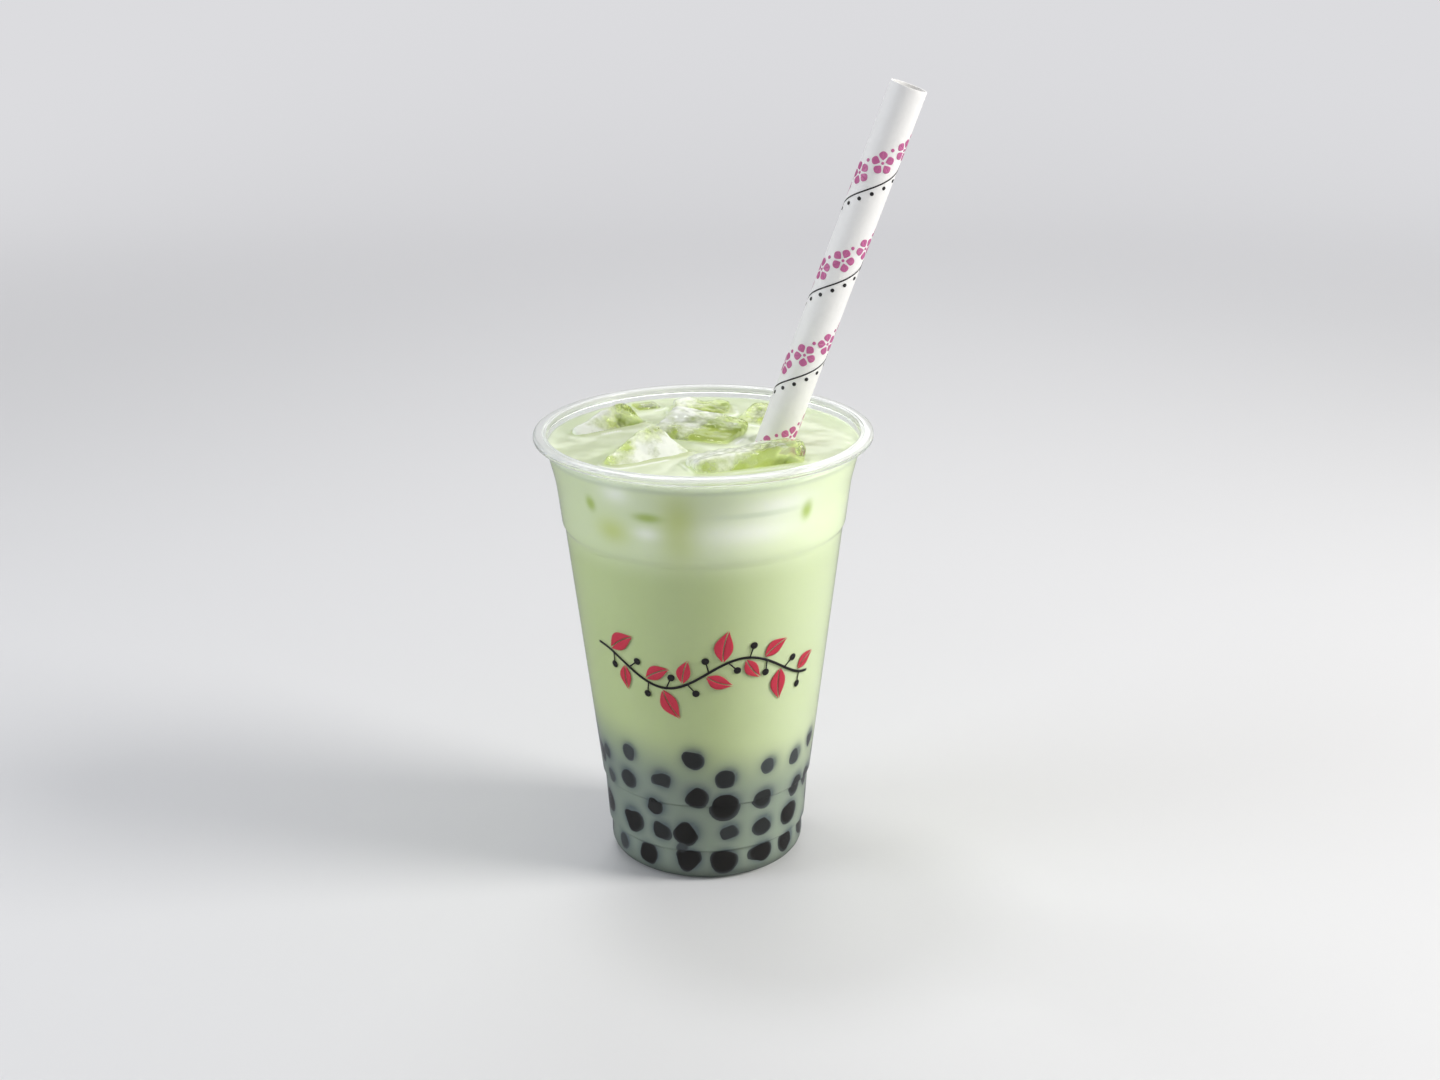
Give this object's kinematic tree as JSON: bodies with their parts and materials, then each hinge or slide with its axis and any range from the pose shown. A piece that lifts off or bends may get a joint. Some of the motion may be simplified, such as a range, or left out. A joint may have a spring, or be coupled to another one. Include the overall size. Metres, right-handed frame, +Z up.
{
  "type": "iced matcha milk tea in a takeaway cup",
  "caption": "Iced matcha milk tea with tapioca pearls in a clear stepped plastic takeaway cup, ice blocks at the surface, and a wide paper straw leaning out.",
  "frame": {"origin": "centre of the cup's foot, on the surface it stands on", "axes": "+Z up along the cup's axis; the straw leans towards +X; the printed front faces -Y"},
  "size_m": [0.1078, 0.095, 0.2232],
  "materials": {
    "clear_plastic": "clear thermoformed plastic, glossy",
    "matcha_milk_tea": "opaque milky liquid, wet",
    "white_paper": "wound white paper, satin",
    "ice": "wet melting ice",
    "tapioca": "glossy boiled tapioca",
    "raspberry_ink": "printed ink",
    "black_ink": "printed ink"
  },
  "bodies": {
    "root": {"cup": "clear_plastic", "drink": "matcha_milk_tea", "straw": "white_paper", "ice_back_left": "ice", "ice_front_left": "ice", "ice_middle": "ice", "ice_front_right": "ice", "ice_back": "ice", "ice_behind_straw": "ice", "ice_chip": "ice"}
  },
  "joints": []
}
